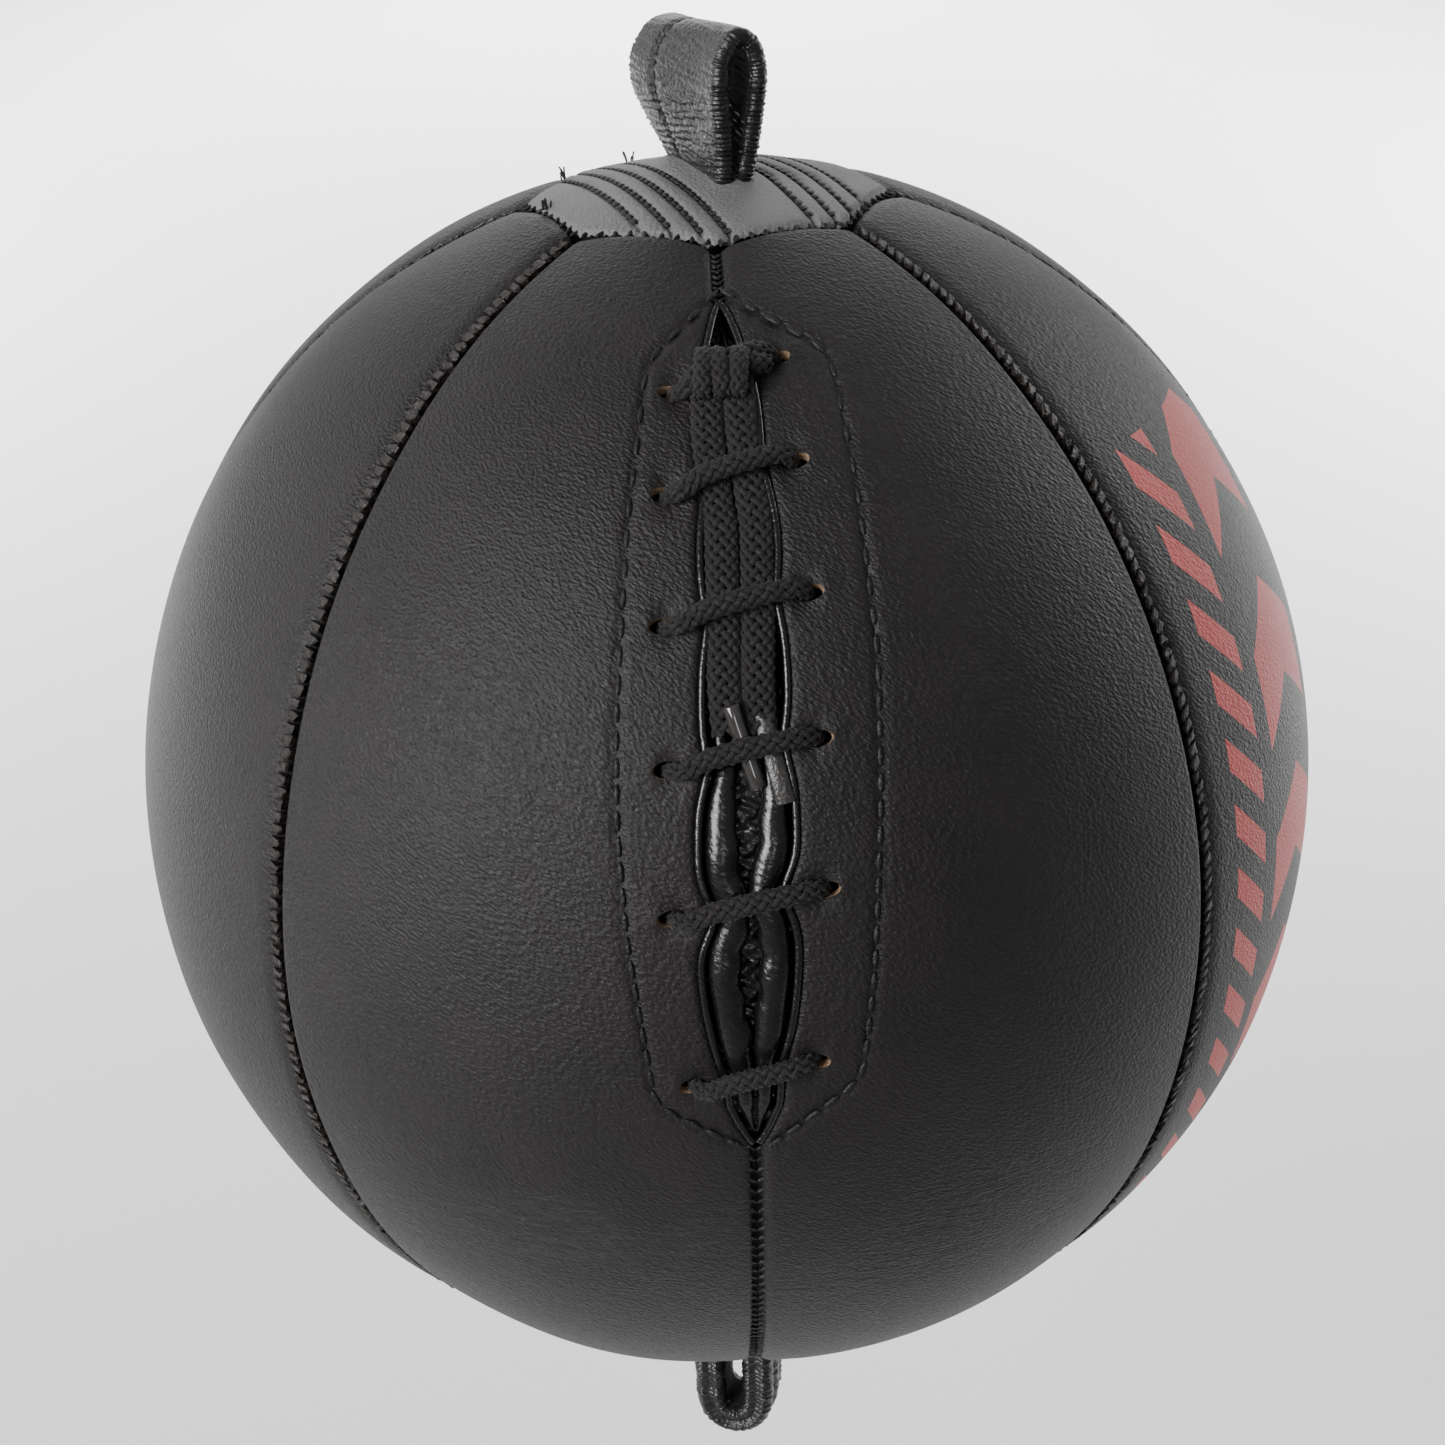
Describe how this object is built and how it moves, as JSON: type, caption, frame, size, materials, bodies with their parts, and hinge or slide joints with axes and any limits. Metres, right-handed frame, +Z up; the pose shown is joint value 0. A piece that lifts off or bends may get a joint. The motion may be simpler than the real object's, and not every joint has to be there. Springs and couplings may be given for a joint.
{
  "type": "double end ball",
  "caption": "Laced leather ball of sewn gore panels round an air bladder, with a leather strap loop at each pole that flexes at its root",
  "frame": {"origin": "middle of the whole length from loop end to loop end, on the pole axis; the ball's centre is 8 mm above it", "axes": "+Z up the pole axis through the top loop, -Y towards the lacing, +X to the right of the lacing"},
  "size_m": [0.25, 0.254, 0.337],
  "materials": {
    "panel_leather": "fine grain, satin",
    "strap_leather": "wrinkled, satin",
    "roll_leather": "smooth, glossy",
    "lining_cloth": "plain weave",
    "thread": "twisted",
    "lace_braid": "braided",
    "aglet_plastic": "glossy, smoky",
    "bladder_rubber": "matte"
  },
  "bodies": {
    "ball": {"panel_1": "panel_leather", "panel_2": "panel_leather", "panel_3": "panel_leather", "panel_4": "panel_leather", "panel_5": "panel_leather", "panel_6": "panel_leather", "panel_7": "panel_leather", "panel_8": "panel_leather", "lining_1": "lining_cloth", "lining_2": "lining_cloth", "lining_3": "lining_cloth", "lining_4": "lining_cloth", "lining_5": "lining_cloth", "lining_6": "lining_cloth", "lining_7": "lining_cloth", "lining_8": "lining_cloth", "seam_thread_1": "thread", "seam_thread_2": "thread", "seam_thread_3": "thread", "seam_thread_4": "thread", "seam_thread_5": "thread", "seam_thread_6": "thread", "seam_thread_7": "thread", "seam_thread_8": "thread", "facing_left": "panel_leather", "facing_right": "panel_leather", "slit_roll_left": "roll_leather", "slit_roll_right": "roll_leather", "tongue": "roll_leather", "facing_thread": "thread", "lace": "lace_braid", "lace_knot": "lace_braid", "lace_end_left": "lace_braid", "lace_end_right": "lace_braid", "aglets": "aglet_plastic", "top_cap": "panel_leather", "top_edge_thread": "thread", "top_quilt_thread": "thread", "top_backing": "lining_cloth", "top_strap_tail_left": "strap_leather", "top_strap_tail_right": "strap_leather", "bottom_cap": "panel_leather", "bottom_edge_thread": "thread", "bottom_quilt_thread": "thread", "bottom_backing": "lining_cloth", "bottom_strap_tail_left": "strap_leather", "bottom_strap_tail_right": "strap_leather", "bladder": "bladder_rubber", "valve_boss": "bladder_rubber", "valve_plug": "bladder_rubber"},
    "top_loop": {"top_loop": "strap_leather"},
    "bottom_loop": {"bottom_loop": "strap_leather"}
  },
  "joints": [
    {"name": "top_loop_flex", "type": "hinge", "parent": "ball", "child": "top_loop", "pos_m": [0, 0, 0.143], "axis": [0.342, -0.9397, 0], "range_deg": [-35, 35], "stiffness_Nm_per_rad": 0.08},
    {"name": "bottom_loop_flex", "type": "hinge", "parent": "ball", "child": "bottom_loop", "pos_m": [0, 0, -0.1298], "axis": [-0.2588, -0.9659, 0], "range_deg": [-30, 30], "stiffness_Nm_per_rad": 0.08}
  ]
}
